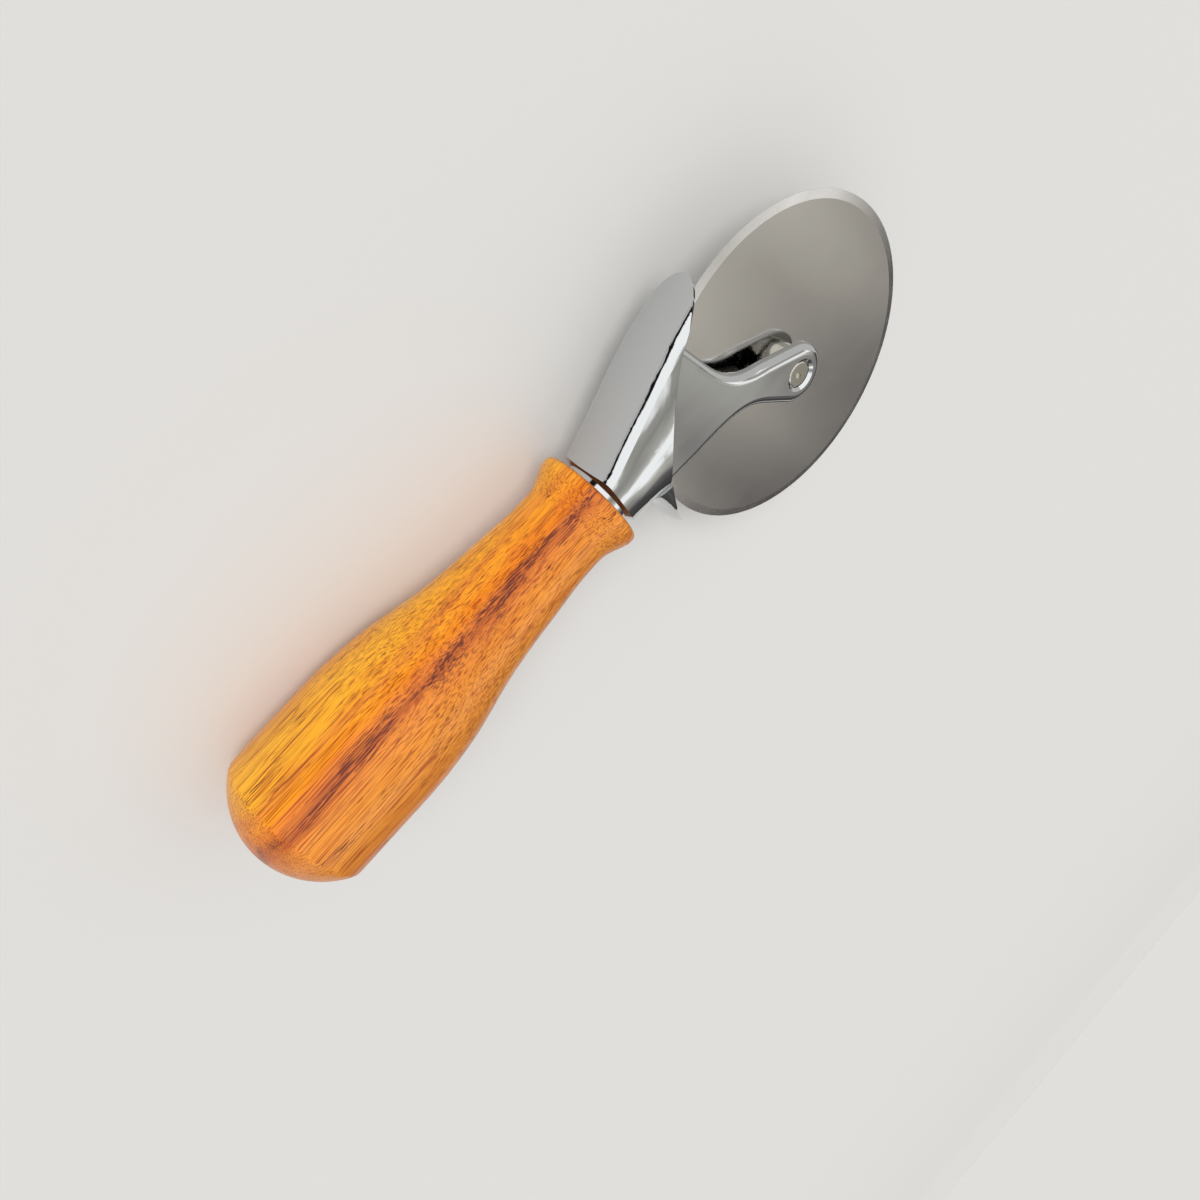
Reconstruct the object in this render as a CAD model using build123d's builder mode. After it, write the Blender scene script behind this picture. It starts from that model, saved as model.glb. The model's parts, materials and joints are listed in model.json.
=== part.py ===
"""Hand-held pizza cutter: a turned wooden handle screwed to a chrome-plated
cast body, whose two-armed fork carries a round steel blade on an axle.

The cutter lies on its side. X runs along the handle towards the blade,
Y is the side of the thumb rest and Z is the blade's axle. The origin is
the middle of the straight part of the handle. All sizes are millimetres.
"""

from build123d import *

import os
from math import cos, radians, sin, sqrt

# Driving dimensions: handle
barrel_radius = 22.75
barrel_length = 27.0
shoulder_length = 78.0
waist_radius = 13.5
waist_to_face = 13.5
lip_radius = 16.45
lip_round = 1.3
butt_dome_height = 13.4
butt_corner_round = 4.0

# Driving dimensions: blade
blade_radius = 50.8
blade_thickness = 1.2
bevel_width = 2.6
edge_thickness = 0.16

# Driving dimensions: cast body
neck_length = 16.0
neck_radius = 12.2
neck_top_height = 11.2
foot_radius = 10.2
foot_length = 2.0
shoulder_slope_length = 1.6
shoulder_outer_radius = 14.2
axle_drop = 22.1
rim_gap = 3.7
guard_half_width = 14.0
thumb_crown_radius = 21.0
thumb_tip_angle = 74.4
thumb_tip_thickness = 1.8
soft_edge_round = 5.0
low_edge_round = 3.0
front_edge_chamfer = 0.45
hook_tip_angle = -16.2
boss_radius = 9.3
arm_thickness = 4.1
arm_inner_z = 4.5
arm_round = 3.0
arm_inner_round = 0.6
arm_root_angle = 25.0

# Driving dimensions: axle and hub
axle_radius = 3.0
head_radius = 4.0
head_height = 1.5
head_round = 0.5
head_seat_depth = 2.2
recess_chamfer = 0.9
screw_radius = 2.0
screw_length = 9.0
screw_pitch = 0.7
screw_thread_depth = 0.35
hex_socket_flats = 2.5
hex_socket_depth = 1.0
hub_radius = 6.8
hub_edge_chamfer = 0.3
hub_spigot_radius = 5.0
washer_radius = 6.2
washer_thickness = 0.4

# Driving dimensions: joint between handle and body
stud_radius = 4.76
stud_length = 30.0
stud_in_body = 13.0
insert_radius = 6.4
insert_length = 16.0
insert_recess = 0.8
thread_pitch = 1.5
thread_depth = 0.6

# Clearances
running_gap = 0.05
end_float = 0.05
screw_gap = 0.05
glue_gap = 0.05
press_gap = 0.01
head_gap = 0.3
bore_end_gap = 1.0
root_overlap = 1.0
overrun = 5.0
match_tolerance = 0.001

# Places that follow from the sizes
face_x = barrel_length / 2 + shoulder_length + waist_to_face
waist_x = face_x - waist_to_face
barrel_end_x = barrel_length / 2
guard_radius = blade_radius + rim_gap
axle_x = face_x + neck_length + guard_radius
axle_y = -axle_drop
axle_point = (axle_x, axle_y)
axle_line = Axis((axle_x, axle_y, 0), (0, 0, 1))
axle_plane = Plane(origin=(axle_x, axle_y, 0), x_dir=(1, 0, 0), z_dir=(0, -1, 0))
arm_outer_z = arm_inner_z + arm_thickness
seat_z = arm_outer_z - head_seat_depth
head_top_z = seat_z + head_height

# Shape of the handle between barrel and waist: how far along, how much of the swell is left
shoulder_shares = ((0.154, 0.935), (0.30, 0.775), (0.46, 0.48), (0.62, 0.27), (0.82, 0.10))
# Shape of the flare between waist and lip: how far along, how much of the flare is reached
flare_shares = ((0.34, 0.13), (0.58, 0.50), (0.80, 0.88))

# Sections of neck and thumb rest, from the handle's face to the thumb rest's tip:
# share of the way, share of the crest's rise, then four half-widths as shares of the
# greatest one: at the soft edge, high and low on the side, and beside the underside
section_shares = (
    (0.0, 0.0, 0.62, 0.81, 0.86, 0.70),
    (0.095, 0.04, 0.66, 0.85, 0.875, 0.70),
    (0.220, 0.197, 0.66, 0.865, 0.92, 0.74),
    (0.362, 0.378, 0.66, 0.90, 0.965, 0.83),
    (0.503, 0.556, 0.66, 0.94, 1.01, 0.92),
    (0.680, 0.755, 0.66, 0.87, 0.91, 0.86),
    (0.848, 0.900, 0.66, 0.76, 0.80, 0.78),
    (1.025, 1.010, 0.66, 0.72, 0.76, 0.76),
)
side_drop_shares = (0.30, 0.62)
underside_share = 0.70
# Outline of the guard seen from above the thumb rest: share of the way, share of the half-width
plan_shares = (
    (0.47, 1.03),
    (0.60, 0.935),
    (0.68, 0.83),
    (0.76, 0.715),
    (0.86, 0.56),
    (0.93, 0.41),
    (0.98, 0.22),
)

# Finger hook: share of the way down to its tip, depth behind the front edge as a share
# of the neck's radius, half-width as a share of the guard's greatest half-width
hook_shares = (
    (0.24, 0.95, 0.83),
    (0.31, 0.64, 0.80),
    (0.38, 0.455, 0.765),
    (0.48, 0.315, 0.70),
    (0.64, 0.235, 0.55),
    (0.80, 0.185, 0.36),
    (0.93, 0.135, 0.19),
    (1.0, 0.075, 0.085),
)

# Outline of a fork arm about the axle, from the guard to the boss above and from the boss
# back to the guard below, as shares of the guard's radius
arm_top_shares = (
    (-0.545, 0.870),
    (-0.473, 0.648),
    (-0.407, 0.473),
    (-0.338, 0.376),
    (-0.257, 0.314),
    (-0.147, 0.264),
)
arm_low_shares = ((-0.258, 0.034), (-0.380, 0.130), (-0.527, 0.167), (-0.721, 0.175), (-0.985, 0.190))
arm_top_tangent_angle = 61.0
arm_low_tangent_angle = 218.0


def front_x(y):
    """Place of the guard's round front face along the handle's axis at height y."""
    return axle_x - sqrt(guard_radius**2 - (y - axle_y) ** 2)


def about_axle(angle, radius):
    """Point on a circle about the axle, with angles measured from the -X side upwards."""
    return (axle_x - radius * cos(radians(angle)), axle_y + radius * sin(radians(angle)))


def at_shares(shares):
    """Points given as shares of the guard's radius about the axle."""
    return [(axle_x + guard_radius * u, axle_y + guard_radius * v) for u, v in shares]


def mirrored(half_outline):
    """The half of an outline below the middle plane, in the order that closes the outline."""
    return [(radius, -z) for radius, z in reversed(half_outline)]


def on_front(edge):
    """Whether an edge lies on the guard's round front face."""
    points = [edge @ share for share in (0, 0.5, 1)]
    distances = [sqrt((point.X - axle_x) ** 2 + (point.Y - axle_y) ** 2) for point in points]
    return all(abs(distance - guard_radius) < match_tolerance for distance in distances)


def section_points(crest_y, half_widths):
    """Corner, side and underside points of a section through neck and guard, on its +Z half."""
    soft_z, high_z, low_z, under_z = half_widths
    corner_y = crest_y - soft_z**2 / (2 * thumb_crown_radius)
    under_y = -neck_radius * underside_share
    high_y, low_y = (corner_y + (under_y - corner_y) * share for share in side_drop_shares)
    return [(corner_y, soft_z), (high_y, high_z), (low_y, low_z), (under_y, under_z)]


# Wooden handle, turned about X, bored for the insert and the stud's end
barrel_start_x = -barrel_length / 2
butt_x = barrel_start_x - butt_dome_height
butt_dome_radius = (butt_dome_height**2 + barrel_radius**2) / (2 * butt_dome_height)
lip_crest_x = face_x - lip_round
swell = barrel_radius - waist_radius
flare = lip_radius - waist_radius
insert_bore_depth = insert_recess + insert_length
stud_bore_depth = stud_length - stud_in_body + overrun
with BuildPart() as handle:
    with BuildSketch(Plane.XY) as handle_profile:
        with BuildLine():
            RadiusArc((butt_x, 0), (barrel_start_x, barrel_radius), butt_dome_radius)
            Line((barrel_start_x, barrel_radius), (barrel_end_x, barrel_radius))
            shoulder_points = [
                (barrel_end_x + shoulder_length * u, waist_radius + swell * v) for u, v in shoulder_shares
            ]
            Spline(
                (barrel_end_x, barrel_radius),
                *shoulder_points,
                (waist_x, waist_radius),
                tangents=((1, 0), (1, 0)),
            )
            flare_length = lip_crest_x - waist_x
            flare_points = [(waist_x + flare_length * u, waist_radius + flare * v) for u, v in flare_shares]
            Spline(
                (waist_x, waist_radius),
                *flare_points,
                (lip_crest_x, lip_radius),
                tangents=((1, 0), (1, 0)),
            )
            RadiusArc((lip_crest_x, lip_radius), (face_x, lip_radius - lip_round), lip_round)
            Line((face_x, lip_radius - lip_round), (face_x, 0))
            Line((face_x, 0), (butt_x, 0))
        make_face()
        fillet(
            handle_profile.vertices().sort_by_distance((barrel_start_x, barrel_radius))[0],
            butt_corner_round,
        )
    revolve(axis=Axis.X)
    with BuildSketch(Plane.YZ.offset(face_x)):
        Circle(insert_radius + glue_gap)
    extrude(amount=-insert_bore_depth, mode=Mode.SUBTRACT)
    with BuildSketch(Plane.YZ.offset(face_x)):
        Circle(stud_radius + screw_gap)
    extrude(amount=-stud_bore_depth, mode=Mode.SUBTRACT)
handle.part.label = "handle"


def thread_ridges(start, end, crest_radius, pitch, depth):
    """Half outline of a screw thread from start to end: one ridge for each turn."""
    count = max(round((end - start) / pitch), 1)
    step = (end - start) / count
    root_radius = crest_radius - depth
    points = []
    for turn in range(count):
        left = start + turn * step
        points += [(left, root_radius), (left + step / 2, crest_radius)]
    points.append((end, root_radius))
    return points


# Brass insert, glued in the handle: ridges outside, plain bore for the stud inside
insert_start_x = face_x - insert_recess - insert_length
insert_end_x = face_x - insert_recess
with BuildPart() as threaded_insert:
    with BuildSketch(Plane.XY):
        with BuildLine():
            ridges = thread_ridges(insert_start_x, insert_end_x, insert_radius, thread_pitch, thread_depth)
            Polyline(
                (insert_start_x, stud_radius + screw_gap),
                *ridges,
                (insert_end_x, stud_radius + screw_gap),
                close=True,
            )
        make_face()
    revolve(axis=Axis.X)
threaded_insert.part.label = "threaded_insert"

# Steel stud between the insert and the cast body
stud_end_x = face_x + stud_in_body
stud_start_x = stud_end_x - stud_length
with BuildPart() as threaded_stud:
    with BuildSketch(Plane.XY):
        with BuildLine():
            ridges = thread_ridges(stud_start_x, stud_end_x, stud_radius, thread_pitch, thread_depth)
            Polyline((stud_start_x, 0), *ridges, (stud_end_x, 0), close=True)
        make_face()
    revolve(axis=Axis.X)
threaded_stud.part.label = "threaded_stud"

# One arm of the fork, with its outer and inner edges rounded
with BuildPart() as fork_arm:
    with BuildSketch(Plane.XY.offset(arm_inner_z)):
        with BuildLine():
            root_point = about_axle(arm_root_angle, guard_radius + root_overlap)
            top_points = at_shares(arm_top_shares)
            low_points = at_shares(arm_low_shares)
            top_tangent = about_axle(180 - arm_top_tangent_angle, boss_radius)
            low_tangent = about_axle(180 - arm_low_tangent_angle, boss_radius)
            top_leave = Vector(*top_points[1]) - Vector(*top_points[0])
            top_arrive = Vector(*top_tangent) - Vector(*top_points[-1])
            low_leave = Vector(*low_points[0]) - Vector(*low_tangent)
            low_arrive = Vector(*low_points[-1]) - Vector(*low_points[-2])
            Spline(*top_points, tangents=(top_leave, top_arrive))
            Line(top_points[-1], top_tangent)
            boss_end = (axle_x + boss_radius, axle_y)
            ThreePointArc(top_tangent, boss_end, low_tangent)
            Line(low_tangent, low_points[0])
            Spline(*low_points, tangents=(low_leave, low_arrive))
            ThreePointArc(low_points[-1], root_point, top_points[0])
        make_face()
    extrude(amount=arm_thickness)
    for face_z, edge_round in ((arm_outer_z, arm_round), (arm_inner_z, arm_inner_round)):
        flat_face = fork_arm.faces().sort_by_distance((axle_x - boss_radius, axle_y, face_z))[0]
        root_edge = flat_face.edges().sort_by_distance((*root_point, face_z))[0]
        fillet([edge for edge in flat_face.edges() if edge != root_edge], edge_round)

# Neck, thumb rest and guard: sections along X, trimmed to the guard's outline
tip_x, tip_y = about_axle(thumb_tip_angle, guard_radius + thumb_tip_thickness)
thumb_run = tip_x - face_x
thumb_rise = tip_y - neck_top_height
plan_side = [(face_x + thumb_run * u, guard_half_width * v) for u, v in plan_shares]
plan_other_side = [(x, -z) for x, z in plan_side]
plan_start_x = plan_side[0][0]
plan_wide = guard_half_width * 2
slope_end_x = face_x + foot_length + shoulder_slope_length
with BuildPart() as guard:
    for along, rise, *width_shares in section_shares:
        crest_y = neck_top_height + thumb_rise * rise
        side = section_points(crest_y, [guard_half_width * share for share in width_shares])
        other_side = [(y, -z) for y, z in side]
        with BuildSketch(Plane.YZ.offset(face_x + thumb_run * along)) as guard_section:
            with BuildLine():
                ThreePointArc(other_side[0], (crest_y, 0), side[0])
                Spline(*side)
                ThreePointArc(side[-1], (-neck_radius, 0), other_side[-1])
                Spline(*other_side)
            make_face()
            fillet(guard_section.vertices().sort_by(Axis.X)[-2:], soft_edge_round)
            fillet(guard_section.vertices().sort_by(Axis.X)[:2], low_edge_round)
    loft()
    with BuildSketch(Plane.XZ):
        with BuildLine():
            Spline(*plan_side, (tip_x, 0), *reversed(plan_other_side))
            Polyline(
                plan_side[0],
                (plan_start_x, plan_wide),
                (face_x, plan_wide),
                (face_x, -plan_wide),
                (plan_start_x, -plan_wide),
                plan_other_side[0],
            )
        make_face()
    extrude(amount=guard_radius, both=True, mode=Mode.INTERSECT)
    with BuildSketch(Plane.XY):
        with Locations(axle_point):
            Circle(guard_radius)
    extrude(amount=plan_wide, both=True, mode=Mode.SUBTRACT)
    chamfer([edge for edge in guard.edges() if edge.center().Y > 0 and on_front(edge)], front_edge_chamfer)
    with BuildSketch(Plane.XY):
        with BuildLine():
            Polyline(
                (face_x, foot_radius),
                (face_x + foot_length, foot_radius),
                (slope_end_x, shoulder_outer_radius),
                (slope_end_x, shoulder_outer_radius * 2),
                (face_x, shoulder_outer_radius * 2),
                close=True,
            )
        make_face()
    revolve(axis=Axis.X, mode=Mode.SUBTRACT)

# Finger hook below the neck, its front edge on the guard's round front
hook_x, hook_y = about_axle(hook_tip_angle, guard_radius)
with BuildPart() as finger_hook:
    for down, depth_share, width_share in hook_shares:
        section_y = hook_y * down
        with BuildSketch(Plane.XZ.offset(-section_y)):
            with Locations((front_x(section_y), 0)):
                Ellipse(neck_radius * depth_share, guard_half_width * width_share)
    loft()
    with BuildSketch(Plane.XY):
        with Locations(axle_point):
            Circle(guard_radius)
    extrude(amount=plan_wide, both=True, mode=Mode.SUBTRACT)

# Cast body: guard, hook and both arms in one piece, bored for the stud and the axle
recess_radius = head_radius + head_gap
axle_hole = [
    (0, arm_outer_z + overrun),
    (recess_radius + recess_chamfer + overrun, arm_outer_z + overrun),
    (recess_radius, arm_outer_z - recess_chamfer),
    (recess_radius, seat_z),
    (axle_radius + running_gap, seat_z),
]
stud_hole_depth = stud_in_body + bore_end_gap
with BuildPart() as body:
    add(guard.part)
    add(finger_hook.part)
    add(fork_arm.part)
    add(mirror(fork_arm.part, about=Plane.XY, mode=Mode.PRIVATE))
    with BuildSketch(Plane.YZ.offset(face_x)):
        Circle(stud_radius + screw_gap)
    extrude(amount=stud_hole_depth, mode=Mode.SUBTRACT)
    with BuildSketch(axle_plane):
        with BuildLine():
            Polyline(*axle_hole, *mirrored(axle_hole), close=True)
        make_face()
    revolve(axis=axle_line, mode=Mode.SUBTRACT)
body.part.label = "body"

# Round steel blade, ground from both sides to its edge
blade_half = blade_thickness / 2
edge_half = edge_thickness / 2
blade_half_outline = [
    (blade_radius, edge_half),
    (blade_radius - bevel_width, blade_half),
    (hub_spigot_radius + press_gap, blade_half),
]
with BuildPart() as cutting_wheel:
    with BuildSketch(axle_plane):
        with BuildLine():
            Polyline(*blade_half_outline, *mirrored(blade_half_outline), close=True)
        make_face()
    revolve(axis=axle_line)
cutting_wheel.part.label = "cutting_wheel"

# Hub in two bushes, pressed into the blade's hole from the two sides
washer_outer_z = arm_inner_z - end_float
washer_inner_z = washer_outer_z - washer_thickness
hub_end_z = washer_inner_z - end_float
bore_radius = axle_radius + running_gap
with BuildPart() as hub_bush_right:
    with BuildSketch(axle_plane):
        with BuildLine():
            Polyline(
                (bore_radius, press_gap),
                (hub_spigot_radius, press_gap),
                (hub_spigot_radius, blade_half + press_gap),
                (hub_radius, blade_half + press_gap),
                (hub_radius, hub_end_z - hub_edge_chamfer),
                (hub_radius - hub_edge_chamfer, hub_end_z),
                (bore_radius, hub_end_z),
                close=True,
            )
        make_face()
    revolve(axis=axle_line)
hub_bush_right.part.label = "hub_bush_right"
with BuildPart() as hub_bush_left:
    add(mirror(hub_bush_right.part, about=Plane.XY, mode=Mode.PRIVATE))
hub_bush_left.part.label = "hub_bush_left"

# Thin washers between the hub and the arms
with BuildPart() as thrust_washer_right:
    with BuildSketch(axle_plane):
        with BuildLine():
            Polyline(
                (bore_radius, washer_inner_z),
                (washer_radius, washer_inner_z),
                (washer_radius, washer_outer_z),
                (bore_radius, washer_outer_z),
                close=True,
            )
        make_face()
    revolve(axis=axle_line)
thrust_washer_right.part.label = "thrust_washer_right"
with BuildPart() as thrust_washer_left:
    add(mirror(thrust_washer_right.part, about=Plane.XY, mode=Mode.PRIVATE))
thrust_washer_left.part.label = "thrust_washer_left"

# Axle: a sleeve with a domed head in the left arm, bored and threaded from the other end
screw_end_z = seat_z - screw_length
with BuildPart() as axle_sleeve:
    with BuildSketch(axle_plane):
        with BuildLine():
            Polyline(
                (head_radius - head_round, -head_top_z),
                (0, -head_top_z),
                (0, screw_end_z - bore_end_gap),
                (screw_radius + screw_gap, screw_end_z - bore_end_gap),
                (screw_radius + screw_gap, seat_z - head_gap),
                (axle_radius, seat_z - head_gap),
                (axle_radius, -seat_z),
                (head_radius, -seat_z),
                (head_radius, -head_top_z + head_round),
            )
            RadiusArc(
                (head_radius, -head_top_z + head_round),
                (head_radius - head_round, -head_top_z),
                head_round,
            )
        make_face()
    revolve(axis=axle_line)
axle_sleeve.part.label = "axle_sleeve"

# Screw that closes the sleeve from the right arm, with a hexagon socket in its head
with BuildPart() as axle_screw:
    with BuildSketch(axle_plane):
        with BuildLine():
            ridges = thread_ridges(screw_end_z, seat_z, screw_radius, screw_pitch, screw_thread_depth)
            Polyline(
                (head_radius - head_round, head_top_z),
                (0, head_top_z),
                (0, screw_end_z),
                *[(radius, z) for z, radius in ridges],
                (head_radius, seat_z),
                (head_radius, head_top_z - head_round),
            )
            RadiusArc(
                (head_radius, head_top_z - head_round),
                (head_radius - head_round, head_top_z),
                -head_round,
            )
        make_face()
    revolve(axis=axle_line)
    with BuildSketch(Plane.XY.offset(head_top_z)):
        with Locations(axle_point):
            RegularPolygon(hex_socket_flats / 2, 6, major_radius=False)
    extrude(amount=-hex_socket_depth, mode=Mode.SUBTRACT)
axle_screw.part.label = "axle_screw"

os.makedirs("parts", exist_ok=True)
export_step(handle.part, "parts/handle.step")
export_step(threaded_insert.part, "parts/threaded_insert.step")
export_step(threaded_stud.part, "parts/threaded_stud.step")
export_step(body.part, "parts/body.step")
export_step(cutting_wheel.part, "parts/cutting_wheel.step")
export_step(hub_bush_left.part, "parts/hub_bush_left.step")
export_step(hub_bush_right.part, "parts/hub_bush_right.step")
export_step(thrust_washer_left.part, "parts/thrust_washer_left.step")
export_step(thrust_washer_right.part, "parts/thrust_washer_right.step")
export_step(axle_sleeve.part, "parts/axle_sleeve.step")
export_step(axle_screw.part, "parts/axle_screw.step")
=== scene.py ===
"""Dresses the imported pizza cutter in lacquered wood, chrome plate and polished steel, and lights it."""

import json
from math import pi, radians

import bpy
from mathutils import Matrix, Vector


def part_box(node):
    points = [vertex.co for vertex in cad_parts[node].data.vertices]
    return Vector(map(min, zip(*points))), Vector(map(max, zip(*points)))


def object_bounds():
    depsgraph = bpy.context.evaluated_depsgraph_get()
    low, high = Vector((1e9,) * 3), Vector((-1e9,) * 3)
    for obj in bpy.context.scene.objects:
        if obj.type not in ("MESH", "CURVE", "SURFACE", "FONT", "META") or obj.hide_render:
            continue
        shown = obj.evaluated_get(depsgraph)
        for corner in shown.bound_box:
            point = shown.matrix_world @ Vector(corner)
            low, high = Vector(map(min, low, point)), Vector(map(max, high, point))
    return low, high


bl_info = {
    "name": "Pizza cutter",
    "version": (1, 0, 0),
    "blender": (4, 5, 0),
    "location": "View3D > Sidebar > Pizza Cutter",
    "description": "Finishes for a pizza cutter, with its floor, light and camera",
    "category": "Material",
}

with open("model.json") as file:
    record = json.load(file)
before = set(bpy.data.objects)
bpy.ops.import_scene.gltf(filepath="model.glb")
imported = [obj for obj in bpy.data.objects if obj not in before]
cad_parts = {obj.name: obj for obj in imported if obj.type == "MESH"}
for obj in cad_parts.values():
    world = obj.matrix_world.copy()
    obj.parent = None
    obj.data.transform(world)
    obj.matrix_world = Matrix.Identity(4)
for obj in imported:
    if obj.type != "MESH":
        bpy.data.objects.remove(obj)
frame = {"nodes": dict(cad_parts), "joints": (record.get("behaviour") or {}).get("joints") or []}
CAD_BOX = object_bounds()
NODES = frame["nodes"]
AXLE = Vector(frame["joints"][0]["pos_m"])
BLADE_LOW, BLADE_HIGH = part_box("cutting_wheel")
BLADE_RADIUS = (BLADE_HIGH.x - BLADE_LOW.x) / 2
HANDLE_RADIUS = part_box("handle")[1].y
FLOOR_HEIGHT = CAD_BOX[0][2]
MM = 0.001
# Sockets of a Mix node that mixes colours: the lower layer, the upper layer and the result
LOWER, UPPER, MIXED = 6, 7, 2


def linear(code):
    """The linear colour of an sRGB hex value such as #C8C8C8."""
    channels = [int(code[i:i + 2], 16) / 255 for i in (1, 3, 5)]
    return [c / 12.92 if c <= 0.04045 else ((c + 0.055) / 1.055) ** 2.4 for c in channels] + [1.0]


def add_node(tree, kind, inputs=(), output=0, stops=(), **settings):
    """Add a node with its settings and ramp stops, feed its inputs, and return one of its outputs."""
    node = tree.nodes.new(kind)
    for name, value in settings.items():
        setattr(node, name, value)
    for name, value in inputs.items() if isinstance(inputs, dict) else enumerate(inputs):
        if isinstance(value, bpy.types.NodeSocket):
            tree.links.new(value, node.inputs[name])
        else:
            node.inputs[name].default_value = value
    if stops:
        elements = node.color_ramp.elements
        while len(elements) < len(stops):
            elements.new(1.0)
        for element, (place, colour) in zip(elements, stops):
            element.position = place
            element.color = linear(colour) if isinstance(colour, str) else (colour,) * 3 + (1.0,)
    return node.outputs[output] if node.outputs else None


def streaks(tree, place, lengths, detail=2.0, roughness=0.5):
    """A cloudy pattern from 0 to 1 whose grains have these real lengths along x, y and z."""
    scaled = add_node(tree, "ShaderNodeVectorMath", (place, lengths), operation="DIVIDE")
    grains = {"Vector": scaled, "Scale": 1.0, "Detail": detail, "Roughness": roughness}
    return add_node(tree, "ShaderNodeTexNoise", grains, "Fac")


def about_axle(tree):
    """Where a point of a turned piece lies: in the wheel's plane, how far from the axle, and along it."""
    place = {"Vector": add_node(tree, "ShaderNodeTexCoord", output="Object"), "Location": -AXLE}
    centred = add_node(tree, "ShaderNodeMapping", place)
    axes = add_node(tree, "ShaderNodeSeparateXYZ", (centred,)).node.outputs
    flat = add_node(tree, "ShaderNodeCombineXYZ", (axes["X"], axes["Y"]))
    radius = add_node(tree, "ShaderNodeVectorMath", (flat,), "Value", operation="LENGTH")
    return flat, radius, axes


def new_material(name, shader_values):
    """A node material with its shader on the output."""
    material = bpy.data.materials.new(name)
    material.use_nodes = True
    tree = material.node_tree
    tree.nodes.clear()
    surface = add_node(tree, "ShaderNodeBsdfPrincipled", shader_values, "BSDF")
    add_node(tree, "ShaderNodeOutputMaterial", {"Surface": surface})
    return material, tree, surface.node


def dress(material, *names):
    """Put a material on CAD nodes, on all their slots."""
    for name in names:
        mesh = NODES[name].data
        if not mesh.materials:
            mesh.materials.append(material)
        for index in range(len(mesh.materials)):
            mesh.materials[index] = material


class WoodLook(bpy.types.PropertyGroup):
    """Sizes and colours of the turned, lacquered hardwood."""

    grain_turn: bpy.props.FloatProperty(
        name="Grain turn",
        description="Turn of the growth layers about the handle",
        default=radians(43),
        subtype="ANGLE",
    )
    pore_length: bpy.props.FloatProperty(
        name="Pore length", description="Length of an open pore", default=2.4 * MM, unit="LENGTH"
    )
    pore_width: bpy.props.FloatProperty(
        name="Pore width", description="Width of an open pore", default=0.19 * MM, unit="LENGTH"
    )
    fibre_width: bpy.props.FloatProperty(
        name="Fibre width", description="Width of a bundle of fibres", default=0.38 * MM, unit="LENGTH"
    )
    line_width: bpy.props.FloatProperty(
        name="Line width", description="Width of a dark mineral line", default=0.3 * MM, unit="LENGTH"
    )
    pore_colour: bpy.props.StringProperty(
        name="Pore colour", description="Open pore filled with finish, sRGB hex", default="#5C1800"
    )
    line_colour: bpy.props.StringProperty(
        name="Line colour", description="Dark mineral lines, sRGB hex", default="#661E00"
    )
    end_colour: bpy.props.StringProperty(
        name="End grain", description="End grain, sRGB hex", default="#B4621E"
    )


class MetalLook(bpy.types.PropertyGroup):
    """Sizes and colours of the plated and polished metals."""

    chrome_colour: bpy.props.StringProperty(
        name="Chrome", description="Chrome plate, sRGB hex", default="#C3C5C6"
    )
    steel_colour: bpy.props.StringProperty(
        name="Blade steel", description="Polished blade, sRGB hex", default="#C6C4C1"
    )
    nickel_colour: bpy.props.StringProperty(
        name="Nickel", description="Nickel plate, sRGB hex", default="#C8C5BB"
    )
    nylon_colour: bpy.props.StringProperty(
        name="Nylon", description="Thrust washers, sRGB hex", default="#EDEBE2"
    )
    casting_wave: bpy.props.FloatProperty(
        name="Casting wave", description="Width of a polishing wave", default=11 * MM, unit="LENGTH"
    )
    bevel_width: bpy.props.FloatProperty(
        name="Bevel width", description="Width of the ground band", default=2.6 * MM, unit="LENGTH"
    )
    grinding_pitch: bpy.props.FloatProperty(
        name="Grinding pitch", description="Spacing of grinding lines", default=0.45 * MM, unit="LENGTH"
    )
    turning_pitch: bpy.props.FloatProperty(
        name="Turning pitch", description="Spacing of the tool rings", default=0.18 * MM, unit="LENGTH"
    )


class StageLook(bpy.types.PropertyGroup):
    """Sizes and colours of the floor, lamps and camera."""

    floor_colour: bpy.props.StringProperty(
        name="Floor", description="Paper floor, sRGB hex", default="#E4E3E0"
    )
    floor_size: bpy.props.FloatProperty(
        name="Floor size", description="Side of the floor", default=6.0, unit="LENGTH"
    )
    backdrop_level: bpy.props.FloatProperty(
        name="Backdrop level", description="Backdrop, where 1 is the floor's colour", default=0.962
    )
    room_level: bpy.props.FloatProperty(
        name="Room level", description="Strength of the room's light", default=0.54
    )
    key_strength: bpy.props.FloatProperty(
        name="Key lamp", description="Strength of the key lamp", default=1.8
    )
    key_softness: bpy.props.FloatProperty(
        name="Key softness",
        description="Angle that the key lamp fills",
        default=radians(32),
        subtype="ANGLE",
    )
    key_direction: bpy.props.FloatVectorProperty(
        name="Key direction",
        description="Towards the key lamp",
        default=(-0.10, 0.70, 0.70),
        subtype="DIRECTION",
    )
    tent_radius: bpy.props.FloatProperty(
        name="Tent radius", description="Radius of the light tent", default=2.5, unit="LENGTH"
    )
    tent_level: bpy.props.FloatProperty(
        name="Tent level", description="Brightness of the tent's lamps", default=1.5
    )
    camera_place: bpy.props.FloatVectorProperty(
        name="Camera place",
        description="Place of the camera",
        default=(0.064767, 0.208875, 0.181632),
        unit="LENGTH",
    )
    camera_right: bpy.props.FloatVectorProperty(
        name="Camera right", description="Right in the picture", default=(0.6720986, -0.4013734, 0.6222402)
    )
    camera_up: bpy.props.FloatVectorProperty(
        name="Camera up", description="Up in the picture", default=(0.7367929, 0.4460604, -0.5081008)
    )
    camera_lens: bpy.props.FloatProperty(
        name="Lens", description="Focal length in millimetres", default=30.0
    )


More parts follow.
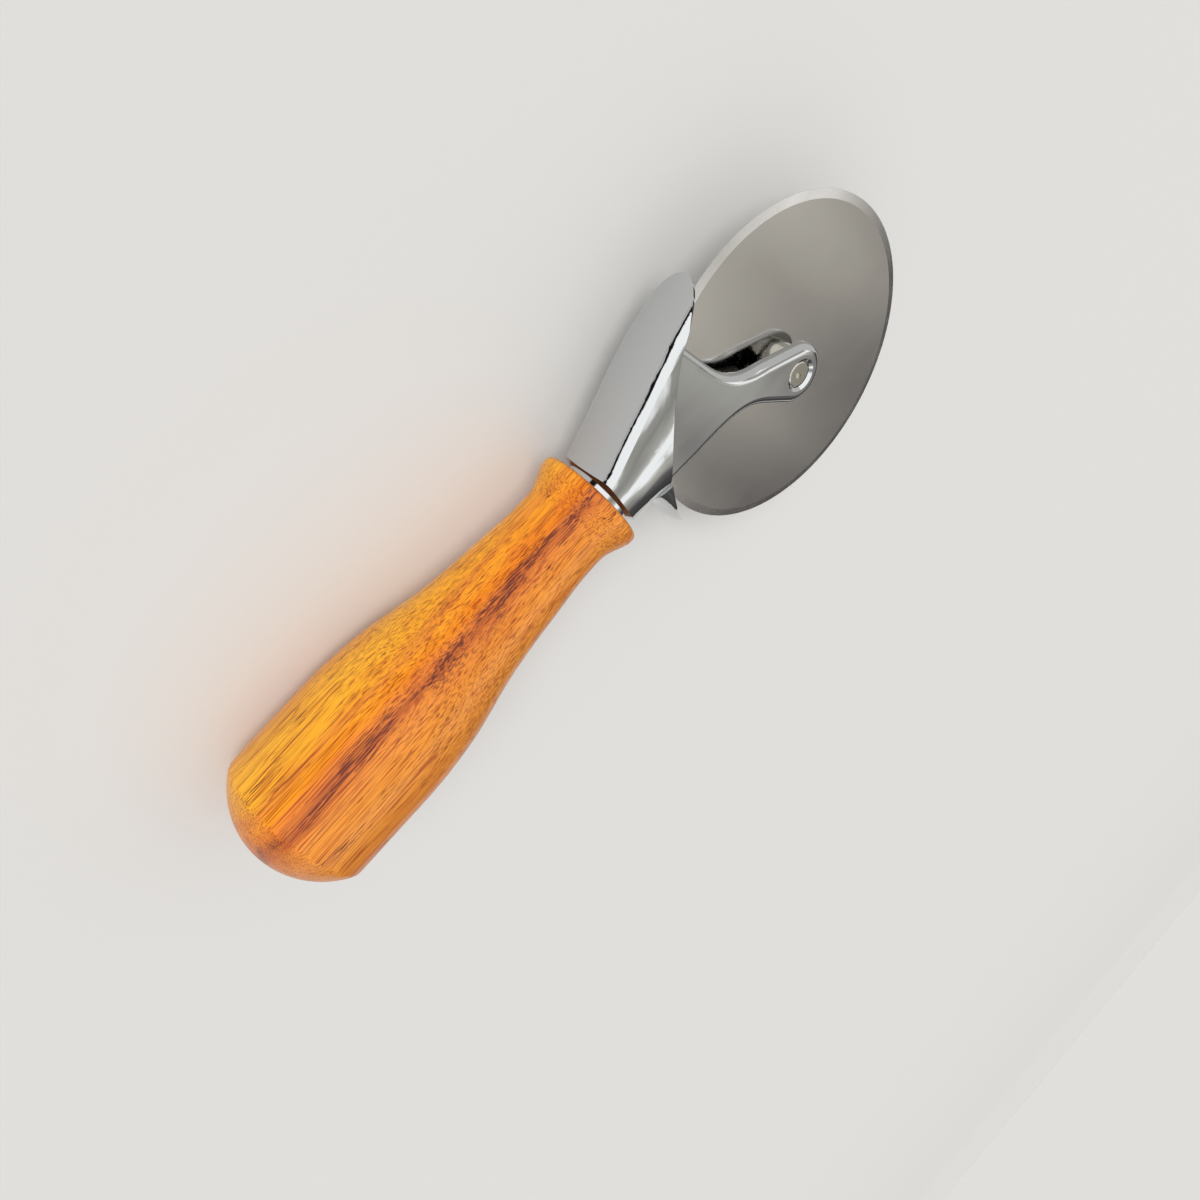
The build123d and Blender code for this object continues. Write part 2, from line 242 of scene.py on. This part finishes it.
class CUTTER_OT_handle(bpy.types.Operator):
    """Finish the turned hardwood handle"""

    bl_idname = "cutter.handle"
    bl_label = "Wooden handle"

    # Growth layers from side to side of the handle: gold, then a dark streak, then tan; the first and last
    # stops, at the handle's sides as the camera sees them, are a little darker: painted shade
    LAYERS_WITH_SIDE_SHADE = (
        (0.00, "#F2A01E"),
        (0.12, "#FFBA30"),
        (0.24, "#FFB020"),
        (0.30, "#EC902C"),
        (0.34, "#FFA41A"),
        (0.40, "#F28C14"),
        (0.45, "#E47E1A"),
        (0.485, "#CC6A18"),
        (0.505, "#BC5E14"),
        (0.53, "#D06E1A"),
        (0.58, "#E88A28"),
        (0.68, "#F49A36"),
        (0.85, "#F29A30"),
        (1.00, "#EE8C1C"),
    )
    # How far the layers drift and ripple out of their flat sheets, and the sizes of such waves
    DRIFT = 9 * MM
    DRIFT_LENGTHS = (60 * MM, 40 * MM, 40 * MM)
    RIPPLE = 5 * MM
    RIPPLE_LENGTHS = (22 * MM, 3 * MM, 3 * MM)
    # Bands of colour, a few bundles of fibres wide, and the bundles: length, strength and tones
    BUNDLES_IN_BAND = 4
    BAND_LENGTH = 50 * MM
    BAND_STRENGTH = 0.5
    BAND_TONES = ((0.30, "#C06820"), (0.48, "#FFFFFF"), (0.72, "#FFF4D0"))
    FIBRE_LENGTH = 14 * MM
    FIBRE_STRENGTH = 0.65
    FIBRE_TONES = ((0.38, "#A85010"), (0.47, "#FFFFFF"), (0.68, "#FFF8DC"))
    # Where the streak lies in the layers, the gaps along it, and its dark lines, fainter elsewhere
    STREAK_SPREAD = ((0.40, 0.0), (0.48, 1.0), (0.53, 1.0), (0.62, 0.0))
    GAP_LENGTHS = (20 * MM, 4 * MM, 4 * MM)
    GAP_EDGES = ((0.44, 0.25), (0.54, 1.0))
    LINE_LENGTH = 14 * MM
    LINE_EDGES = ((0.52, 0.0), (0.55, 0.9))
    LINES_ELSEWHERE = 0.28
    # Crowds of pores, denser at the streak, and how much a pore hides of the wood's colour
    CROWD_LENGTHS = (26 * MM, 4 * MM, 4 * MM)
    CROWD_EDGES = ((0.48, 0.0), (0.66, 0.8))
    CROWD_AT_STREAK = 1.2
    PORE_OPACITY = 0.9
    # A fine pore's size and strength as shares of a coarse one's, and how much of its cell each fills
    FINE_PORE_SHARE = 0.6
    FINE_FILL = 0.32
    COARSE_FILL = 0.36
    # A pore's reach outside a crowd, its growth in one, and its soft edge, as shares of the fill
    PORE_REACH = 0.25
    PORE_GROWTH = 0.9
    PORE_EDGE = 0.3
    # Depth of an open pore and of one that lacquer half fills, and height of a fibre
    PORE_DEPTH = 0.08 * MM
    FILLED_DEPTH = 0.04 * MM
    FIBRE_HEIGHT = 0.04 * MM
    # How much finish end grain drinks
    SOAKED = 0.6

    def execute(self, context):
        look = context.scene.cutter_wood
        # Turned hardwood under satin lacquer: warm orange, a dark streak, open pores along the grain
        material, tree, shader = new_material(
            "lacquered_hardwood",
            {
                "Roughness": 0.48,
                "IOR": 1.45,
                "Specular IOR Level": 0.2,
                "Coat Weight": 0.4,
                "Coat Roughness": 0.16,
                "Coat IOR": 1.5,
            },
        )
        place = add_node(tree, "ShaderNodeTexCoord", output="Object")
        turned = {"Vector": place, "Rotation": (-look.grain_turn, 0, 0)}
        grain = add_node(tree, "ShaderNodeMapping", turned)
        layer = self.layers(tree, grain)
        # The ramp's darker first and last stops are painted shade at the handle's sides
        colour = add_node(tree, "ShaderNodeValToRGB", (layer,), stops=self.LAYERS_WITH_SIDE_SHADE)
        colour, fibres = self.fibres(tree, grain, colour, look)
        colour, near_streak = self.dark_lines(tree, grain, layer, colour, look)
        colour, pores = self.pores(tree, grain, near_streak, colour, look)
        tree.links.new(self.end_grain(tree, colour, look), shader.inputs["Base Color"])

        # Pores are sunk, fibres stand a little proud, and the lacquer half fills both
        sunk = add_node(tree, "ShaderNodeMath", (1.0, pores), operation="SUBTRACT")
        dents = {"Height": sunk, "Distance": self.PORE_DEPTH, "Strength": 0.6}
        ribs = {"Height": fibres, "Distance": self.FIBRE_HEIGHT, "Strength": 0.3}
        ribs["Normal"] = add_node(tree, "ShaderNodeBump", dents)
        filled = {"Height": sunk, "Distance": self.FILLED_DEPTH, "Strength": 0.3}
        tree.links.new(add_node(tree, "ShaderNodeBump", ribs), shader.inputs["Normal"])
        tree.links.new(add_node(tree, "ShaderNodeBump", filled), shader.inputs["Coat Normal"])
        dress(material, "handle")
        return {"FINISHED"}

    def layers(self, tree, grain):
        """Growth layers cross the handle from side to side, 0 to 1, and waver along it."""
        drift = streaks(tree, grain, self.DRIFT_LENGTHS, detail=1.0)
        ripple = streaks(tree, grain, self.RIPPLE_LENGTHS, detail=4.0)
        across = add_node(tree, "ShaderNodeSeparateXYZ", (grain,), "Z")
        across = add_node(tree, "ShaderNodeMath", (drift, self.DRIFT, across), operation="MULTIPLY_ADD")
        across = add_node(tree, "ShaderNodeMath", (ripple, self.RIPPLE, across), operation="MULTIPLY_ADD")
        mean = (self.DRIFT + self.RIPPLE) / 2
        across = add_node(tree, "ShaderNodeMath", (across, mean), operation="SUBTRACT")
        centred = (across, 0.5 / HANDLE_RADIUS, 0.5)
        return add_node(tree, "ShaderNodeMath", centred, operation="MULTIPLY_ADD", use_clamp=True)

    def fibres(self, tree, grain, colour, look):
        """Bundles of fibres, lighter and darker, run the length of the handle."""
        band_width = self.BUNDLES_IN_BAND * look.fibre_width
        band_lengths = (self.BAND_LENGTH, band_width, band_width)
        bands = streaks(tree, grain, band_lengths, detail=3.0, roughness=0.6)
        fibres = streaks(tree, grain, (self.FIBRE_LENGTH, look.fibre_width, look.fibre_width))
        for pattern, strength, tones in (
            (bands, self.BAND_STRENGTH, self.BAND_TONES),
            (fibres, self.FIBRE_STRENGTH, self.FIBRE_TONES),
        ):
            shade = add_node(tree, "ShaderNodeValToRGB", (pattern,), stops=tones)
            mix = {"Factor": strength, LOWER: colour, UPPER: shade}
            colour = add_node(tree, "ShaderNodeMix", mix, MIXED, data_type="RGBA", blend_type="MULTIPLY")
        return colour, fibres

    def dark_lines(self, tree, grain, layer, colour, look):
        """Thin dark lines gather in the streak, with gaps along it, and run faintly elsewhere."""
        near_streak = add_node(tree, "ShaderNodeValToRGB", (layer,), stops=self.STREAK_SPREAD)
        gaps = streaks(tree, grain, self.GAP_LENGTHS, detail=1.0)
        gaps = add_node(tree, "ShaderNodeValToRGB", (gaps,), stops=self.GAP_EDGES)
        near_streak = add_node(tree, "ShaderNodeMath", (near_streak, gaps), operation="MULTIPLY")
        lines = streaks(tree, grain, (self.LINE_LENGTH, look.line_width, look.line_width), detail=3.0)
        lines = add_node(tree, "ShaderNodeValToRGB", (lines,), stops=self.LINE_EDGES)
        strength = (near_streak, self.LINES_ELSEWHERE)
        strength = add_node(tree, "ShaderNodeMath", strength, operation="MAXIMUM")
        lines = add_node(tree, "ShaderNodeMath", (lines, strength), operation="MULTIPLY")
        mix = {"Factor": lines, LOWER: colour, UPPER: linear(look.line_colour)}
        return add_node(tree, "ShaderNodeMix", mix, MIXED, data_type="RGBA"), near_streak

    def pores(self, tree, grain, near_streak, colour, look):
        """Open pores: dark dashes along the grain, crowded near the streak and in loose bands."""
        crowd = streaks(tree, grain, self.CROWD_LENGTHS)
        crowd = add_node(tree, "ShaderNodeValToRGB", (crowd,), stops=self.CROWD_EDGES)
        at_streak = (near_streak, self.CROWD_AT_STREAK)
        at_streak = add_node(tree, "ShaderNodeMath", at_streak, operation="MULTIPLY")
        crowd = add_node(tree, "ShaderNodeMath", (crowd, at_streak), operation="MAXIMUM")
        coarse = self.dashes(tree, grain, crowd, look.pore_length, look.pore_width, self.COARSE_FILL)
        fine_length = self.FINE_PORE_SHARE * look.pore_length
        fine_width = self.FINE_PORE_SHARE * look.pore_width
        fine = self.dashes(tree, grain, crowd, fine_length, fine_width, self.FINE_FILL)
        fine = add_node(tree, "ShaderNodeMath", (fine, self.FINE_PORE_SHARE), operation="MULTIPLY")
        pores = add_node(tree, "ShaderNodeMath", (coarse, fine), operation="MAXIMUM")
        hidden = add_node(tree, "ShaderNodeMath", (pores, self.PORE_OPACITY), operation="MULTIPLY")
        mix = {"Factor": hidden, LOWER: colour, UPPER: linear(look.pore_colour)}
        return add_node(tree, "ShaderNodeMix", mix, MIXED, data_type="RGBA"), pores

    def dashes(self, tree, grain, crowd, length, width, fill):
        """Dashes of about this size, which fill a share of their cells and swell in a crowd."""
        cell = (length / fill, width / fill, width / fill)
        scaled = add_node(tree, "ShaderNodeVectorMath", (grain, cell), operation="DIVIDE")
        spread = add_node(tree, "ShaderNodeTexVoronoi", {"Vector": scaled, "Scale": 1.0}, "Distance")
        swell = (crowd, self.PORE_GROWTH * fill, self.PORE_REACH * fill)
        reach = add_node(tree, "ShaderNodeMath", swell, operation="MULTIPLY_ADD")
        inside = add_node(tree, "ShaderNodeMath", (reach, spread), operation="SUBTRACT")
        edge = self.PORE_EDGE * fill
        return add_node(tree, "ShaderNodeMath", (inside, edge), operation="DIVIDE", use_clamp=True)

    def end_grain(self, tree, colour, look):
        """End grain drinks more finish and is darker, at the butt and on the lip."""
        facing = add_node(tree, "ShaderNodeTexCoord", output="Normal")
        facing = add_node(tree, "ShaderNodeSeparateXYZ", (facing,), "X")
        facing = add_node(tree, "ShaderNodeMath", (facing, facing), operation="MULTIPLY")
        soaked = add_node(tree, "ShaderNodeMath", (facing, self.SOAKED), operation="MULTIPLY")
        mix = {"Factor": soaked, LOWER: colour, UPPER: linear(look.end_colour)}
        return add_node(tree, "ShaderNodeMix", mix, MIXED, data_type="RGBA")


class CUTTER_OT_body(bpy.types.Operator):
    """Finish the chrome-plated casting"""

    bl_idname = "cutter.body"
    bl_label = "Chrome body"

    # Length and width of the faint marks that handling leaves, and height of a polishing wave
    MARK_LENGTHS = (6 * MM, 3 * MM, 3 * MM)
    WAVE_HEIGHT = 0.25 * MM

    def execute(self, context):
        look = context.scene.cutter_metal
        # Zinc casting, hand polished, chrome plated: a mirror with slow waves and faint marks
        material, tree, shader = new_material(
            "chrome_plated_casting", {"Base Color": linear(look.chrome_colour), "Metallic": 1.0}
        )
        place = add_node(tree, "ShaderNodeTexCoord", output="Object")
        marks = streaks(tree, place, self.MARK_LENGTHS, detail=5.0, roughness=0.65)
        dulling = {"Value": marks, "From Min": 0.5, "From Max": 0.8, "To Min": 0.035, "To Max": 0.16}
        tree.links.new(add_node(tree, "ShaderNodeMapRange", dulling), shader.inputs["Roughness"])
        wave_lengths = (look.casting_wave * 2, look.casting_wave, look.casting_wave)
        waves = {
            "Height": streaks(tree, place, wave_lengths, detail=1.0),
            "Distance": self.WAVE_HEIGHT,
            "Strength": 0.5,
        }
        tree.links.new(add_node(tree, "ShaderNodeBump", waves), shader.inputs["Normal"])
        dress(material, "body")
        return {"FINISHED"}


class CUTTER_OT_blade(bpy.types.Operator):
    """Finish the polished blade with its ground bevel"""

    bl_idname = "cutter.blade"
    bl_label = "Blade"

    # Rolling lines on the face and grinding lines across the bevel: lengths and depths
    ROLLED_LENGTHS = (0.35 * MM, 60 * MM, MM)
    ROLLED_DEPTH = 0.004 * MM
    GROUND_LENGTH = 6 * MM
    GROUND_DEPTH = 0.02 * MM
    # Clouds of haze on the face
    HAZE_LENGTHS = (14 * MM, 9 * MM, MM)
    # Half of the soft step between face and bevel, and how much duller the bevel is
    BEVEL_BLEND = 0.1 * MM
    BEVEL_DULLNESS = 0.16

    def execute(self, context):
        look = context.scene.cutter_metal
        # Cold-rolled stainless sheet: near-mirror face, faint rolling lines, ground bevel
        material, tree, shader = new_material(
            "polished_stainless_sheet", {"Base Color": linear(look.steel_colour), "Metallic": 1.0}
        )
        flat, radius, axes = about_axle(tree)
        bevel_start = BLADE_RADIUS - look.bevel_width
        step = {
            "Value": radius,
            "From Min": bevel_start - self.BEVEL_BLEND,
            "From Max": bevel_start + self.BEVEL_BLEND,
        }
        bevel = add_node(tree, "ShaderNodeMapRange", step, interpolation_type="SMOOTHSTEP")
        face = add_node(tree, "ShaderNodeMath", (1.0, bevel), operation="SUBTRACT")

        # The face is a little hazy in clouds, the ground band duller
        haze = streaks(tree, flat, self.HAZE_LENGTHS, detail=4.0)
        dulling = {"Value": haze, "From Min": 0.35, "From Max": 0.75, "To Min": 0.07, "To Max": 0.15}
        roughness = (bevel, self.BEVEL_DULLNESS, add_node(tree, "ShaderNodeMapRange", dulling))
        roughness = add_node(tree, "ShaderNodeMath", roughness, operation="MULTIPLY_ADD")
        tree.links.new(roughness, shader.inputs["Roughness"])

        # Rolling lines run across the sheet, grinding lines across the rim, both drawn coarser than real
        angle = add_node(tree, "ShaderNodeMath", (axes["Y"], axes["X"]), operation="ARCTAN2")
        along_rim = add_node(tree, "ShaderNodeMath", (angle, BLADE_RADIUS), operation="MULTIPLY")
        rim_place = add_node(tree, "ShaderNodeCombineXYZ", (along_rim, radius))
        ground = streaks(tree, rim_place, (look.grinding_pitch, self.GROUND_LENGTH, MM))
        ground = add_node(tree, "ShaderNodeMath", (ground, bevel), operation="MULTIPLY")
        rolled = streaks(tree, flat, self.ROLLED_LENGTHS)
        rolled = add_node(tree, "ShaderNodeMath", (rolled, face), operation="MULTIPLY")
        rolling = {"Height": rolled, "Distance": self.ROLLED_DEPTH, "Strength": 0.4}
        grinding = {"Height": ground, "Distance": self.GROUND_DEPTH, "Strength": 0.6}
        grinding["Normal"] = add_node(tree, "ShaderNodeBump", rolling)
        tree.links.new(add_node(tree, "ShaderNodeBump", grinding), shader.inputs["Normal"])
        dress(material, "cutting_wheel")
        return {"FINISHED"}


class CUTTER_OT_axle(bpy.types.Operator):
    """Finish the axle, the hub and the washers"""

    bl_idname = "cutter.axle"
    bl_label = "Axle and hub"

    # Depth of the lathe's tool rings, and grain and depth of the texture that a mould leaves
    RING_DEPTH = 0.01 * MM
    MOULD_GRAIN = 0.3 * MM
    MOULD_DEPTH = 0.01 * MM

    def execute(self, context):
        look = context.scene.cutter_metal
        # Turned steel, nickel plated: warm and bright, with fine tool rings about the axle
        nickel, tree, shader = new_material(
            "nickel_plated_turned_steel", {"Base Color": linear(look.nickel_colour), "Metallic": 1.0}
        )
        radius, axes = about_axle(tree)[1:]
        ring_place = add_node(tree, "ShaderNodeCombineXYZ", (radius, axes["Z"]))
        rings = streaks(tree, ring_place, (look.turning_pitch, look.turning_pitch, MM), detail=1.0)
        dulling = {"Value": rings, "To Min": 0.08, "To Max": 0.22}
        tree.links.new(add_node(tree, "ShaderNodeMapRange", dulling), shader.inputs["Roughness"])
        grooves = {"Height": rings, "Distance": self.RING_DEPTH, "Strength": 0.5}
        tree.links.new(add_node(tree, "ShaderNodeBump", grooves), shader.inputs["Normal"])
        dress(nickel, "axle_sleeve", "axle_screw", "hub_bush_left", "hub_bush_right")

        # Moulded nylon: milky white, soft sheen, faint mould texture
        nylon, tree, shader = new_material(
            "moulded_nylon",
            {"Base Color": linear(look.nylon_colour), "Roughness": 0.42, "Subsurface Weight": 0.1},
        )
        place = add_node(tree, "ShaderNodeTexCoord", output="Object")
        grit = streaks(tree, place, (self.MOULD_GRAIN, self.MOULD_GRAIN, self.MOULD_GRAIN))
        texture = {"Height": grit, "Distance": self.MOULD_DEPTH, "Strength": 0.4}
        tree.links.new(add_node(tree, "ShaderNodeBump", texture), shader.inputs["Normal"])
        dress(nylon, "thrust_washer_left", "thrust_washer_right")
        return {"FINISHED"}


class CUTTER_OT_fasteners(bpy.types.Operator):
    """Finish the stud and the insert hidden in the handle"""

    bl_idname = "cutter.fasteners"
    bl_label = "Stud and insert"

    FINISHES = {
        # Turned brass, slightly dulled: yellow, with tool lines round the bar
        "threaded_insert": ("turned_brass", "#C8A24E", 0.26),
        # Bright zinc plate on rolled thread: cool grey, satin
        "threaded_stud": ("zinc_plated_steel", "#B9BBC0", 0.30),
    }
    # Tool lines round the bar: size, depth, and how far the roughness swings between them
    TOOL_LINE_LENGTHS = (0.2 * MM, 8 * MM, 8 * MM)
    TOOL_LINE_DEPTH = 0.01 * MM
    ROUGHNESS_SWING = 0.08

    def execute(self, context):
        for name, (label, colour, dullness) in self.FINISHES.items():
            metal = {"Base Color": linear(colour), "Metallic": 1.0}
            material, tree, shader = new_material(label, metal)
            place = add_node(tree, "ShaderNodeTexCoord", output="Object")
            lines = streaks(tree, place, self.TOOL_LINE_LENGTHS)
            dulling = {
                "Value": lines,
                "To Min": dullness - self.ROUGHNESS_SWING,
                "To Max": dullness + self.ROUGHNESS_SWING,
            }
            tree.links.new(add_node(tree, "ShaderNodeMapRange", dulling), shader.inputs["Roughness"])
            grooves = {"Height": lines, "Distance": self.TOOL_LINE_DEPTH, "Strength": 0.5}
            tree.links.new(add_node(tree, "ShaderNodeBump", grooves), shader.inputs["Normal"])
            dress(material, name)
        return {"FINISHED"}


class CUTTER_OT_stage(bpy.types.Operator):
    """Lay the floor, hang the lamps and place the camera"""

    bl_idname = "cutter.stage"
    bl_label = "Floor, light and camera"

    # The light tent from its foot on the camera's side, over the top, to its far foot: pale cloth,
    # a dark flag, a wide lamp, grey cloth, a lamp strip, and cloth that darkens towards the foot
    TENT_CLOTH = (
        (0.00, "#B5B4B0"),
        (0.04, "#B5B4B0"),
        (0.055, "#141313"),
        (0.12, "#141313"),
        (0.145, "#FFFFFF"),
        (0.42, "#FFFFFF"),
        (0.49, "#A3A19A"),
        (0.55, "#8E8C87"),
        (0.61, "#B5B3AC"),
        (0.64, "#FFFFFF"),
        (0.70, "#FFFFFF"),
        (0.73, "#B8B6AF"),
        (0.77, "#A5A39C"),
        (0.80, "#8E8B87"),
        (0.84, "#636060"),
        (0.90, "#4A4848"),
        (1.00, "#3A3939"),
    )
    # Sides of the tent's tube, size of the cloth's soft folds in metres, and how far a fold
    # shifts the bands, as a share of the half turn
    TENT_SIDES = 96
    FOLD_LENGTHS = (0.45, 1.1, 1.1)
    FOLD_SHARE = 0.18
    # The camera's film is 36 mm wide, and it sees what is more than 10 mm away
    FILM_WIDTH = 36.0
    NEAREST = 10 * MM

    def execute(self, context):
        look = context.scene.cutter_stage
        context.scene.view_settings.view_transform = "Standard"
        self.lay_floor(look)
        self.light_room(context.scene, look)
        self.hang_key_lamp(look)
        self.pitch_tent(look)
        self.place_camera(context.scene, look)
        return {"FINISHED"}

    def lay_floor(self, look):
        """The floor lies as high as the cutter's lowest point."""
        bpy.ops.mesh.primitive_plane_add(size=look.floor_size)
        floor = bpy.context.object
        floor.name = "floor"
        floor.data.transform(Matrix.Translation((0, 0, FLOOR_HEIGHT)))
        # Matt paper: pale, even, no sheen
        paper = new_material("matt_paper", {"Base Color": linear(look.floor_colour), "Roughness": 0.9})[0]
        floor.data.materials.append(paper)

    def light_room(self, scene, look):
        """Even white light; the camera, metal and glass see a backdrop of the floor's colour."""
        scene.world = bpy.data.worlds.new("studio")
        scene.world.use_nodes = True
        tree = scene.world.node_tree
        tree.nodes.clear()
        rays = add_node(tree, "ShaderNodeLightPath").node.outputs
        seen = (rays["Is Camera Ray"], rays["Is Glossy Ray"])
        seen = add_node(tree, "ShaderNodeMath", seen, operation="MAXIMUM")
        seen = add_node(tree, "ShaderNodeMath", (seen, rays["Is Transmission Ray"]), operation="MAXIMUM")
        light = add_node(tree, "ShaderNodeBackground", (linear("#FFFFFF"), look.room_level))
        backdrop = add_node(tree, "ShaderNodeBackground", (linear(look.floor_colour), look.backdrop_level))
        shown = add_node(tree, "ShaderNodeMixShader", (seen, light, backdrop))
        add_node(tree, "ShaderNodeOutputWorld", (shown,))

    def hang_key_lamp(self, look):
        """A large soft lamp high on the camera's side; metal mirrors the tent's lamp instead."""
        bpy.ops.object.light_add(type="SUN", location=(0, 0, look.tent_radius))
        key = bpy.context.object
        key.name = "key_lamp"
        key.data.energy = look.key_strength
        key.data.angle = look.key_softness
        key.rotation_euler = (-Vector(look.key_direction)).to_track_quat("-Z", "Y").to_euler()
        key.visible_glossy = False

    def pitch_tent(self, look):
        """A light tent along the cutter, seen only by what shines, which lights nothing else."""
        bpy.ops.mesh.primitive_cylinder_add(
            vertices=self.TENT_SIDES,
            radius=look.tent_radius,
            depth=look.floor_size,
            end_fill_type="NOTHING",
        )
        tent = bpy.context.object
        tent.name = "light_tent"
        tent.data.transform(Matrix.Rotation(pi / 2, 4, "Y"))
        tent.visible_camera = False
        tent.visible_diffuse = False
        tent.visible_shadow = False
        # Stretched cloth, lit from behind: flat tones that turn soft in plated metal
        cloth = bpy.data.materials.new("lit_tent_cloth")
        cloth.use_nodes = True
        tree = cloth.node_tree
        tree.nodes.clear()
        place = add_node(tree, "ShaderNodeTexCoord", output="Object")
        axes = add_node(tree, "ShaderNodeSeparateXYZ", (place,)).node.outputs
        angle = add_node(tree, "ShaderNodeMath", (axes["Z"], axes["Y"]), operation="ARCTAN2")
        over = (angle, 1 / pi, -self.FOLD_SHARE / 2)
        over = add_node(tree, "ShaderNodeMath", over, operation="MULTIPLY_ADD")
        folds = streaks(tree, place, self.FOLD_LENGTHS)
        over = add_node(tree, "ShaderNodeMath", (folds, self.FOLD_SHARE, over), operation="MULTIPLY_ADD")
        tone = add_node(tree, "ShaderNodeValToRGB", (over,), stops=self.TENT_CLOTH)
        glow = add_node(tree, "ShaderNodeEmission", (tone, look.tent_level))
        add_node(tree, "ShaderNodeOutputMaterial", {"Surface": glow})
        tent.data.materials.append(cloth)

    def place_camera(self, scene, look):
        """The camera stands and turns as it did for the photograph."""
        bpy.ops.object.camera_add()
        camera = bpy.context.object
        camera.name = "camera"
        right = Vector(look.camera_right)
        up = Vector(look.camera_up)
        turn = Matrix((right, up, right.cross(up))).transposed()
        camera.matrix_world = Matrix.Translation(look.camera_place) @ turn.to_4x4()
        camera.data.sensor_width = self.FILM_WIDTH
        camera.data.lens = look.camera_lens
        camera.data.clip_start = self.NEAREST
        scene.camera = camera


class CUTTER_PT_panel(bpy.types.Panel):
    """Sidebar list of the cutter's pieces"""

    bl_idname = "CUTTER_PT_panel"
    bl_label = "Pizza Cutter"
    bl_space_type = "VIEW_3D"
    bl_region_type = "UI"
    bl_category = "Pizza Cutter"

    def draw(self, context):
        for operator in OPERATORS:
            self.layout.operator(operator.bl_idname)
        for name in LOOKS:
            box = self.layout.box()
            look = getattr(context.scene, name)
            for size in look.__annotations__:
                box.prop(look, size)


OPERATORS = (
    CUTTER_OT_handle,
    CUTTER_OT_body,
    CUTTER_OT_blade,
    CUTTER_OT_axle,
    CUTTER_OT_fasteners,
    CUTTER_OT_stage,
)
LOOKS = {"cutter_wood": WoodLook, "cutter_metal": MetalLook, "cutter_stage": StageLook}


def register():
    for group in (*LOOKS.values(), *OPERATORS, CUTTER_PT_panel):
        bpy.utils.register_class(group)
    for name, look in LOOKS.items():
        setattr(bpy.types.Scene, name, bpy.props.PointerProperty(type=look))


def unregister():
    for name in LOOKS:
        delattr(bpy.types.Scene, name)
    for group in reversed((*LOOKS.values(), *OPERATORS, CUTTER_PT_panel)):
        bpy.utils.unregister_class(group)


def main():
    """Run every step in order."""
    register()
    bpy.ops.object.select_all(action="DESELECT")
    bpy.ops.cutter.handle()
    bpy.ops.cutter.body()
    bpy.ops.cutter.blade()
    bpy.ops.cutter.axle()
    bpy.ops.cutter.fasteners()
    bpy.ops.cutter.stage()


if __name__ == "__main__":
    main()
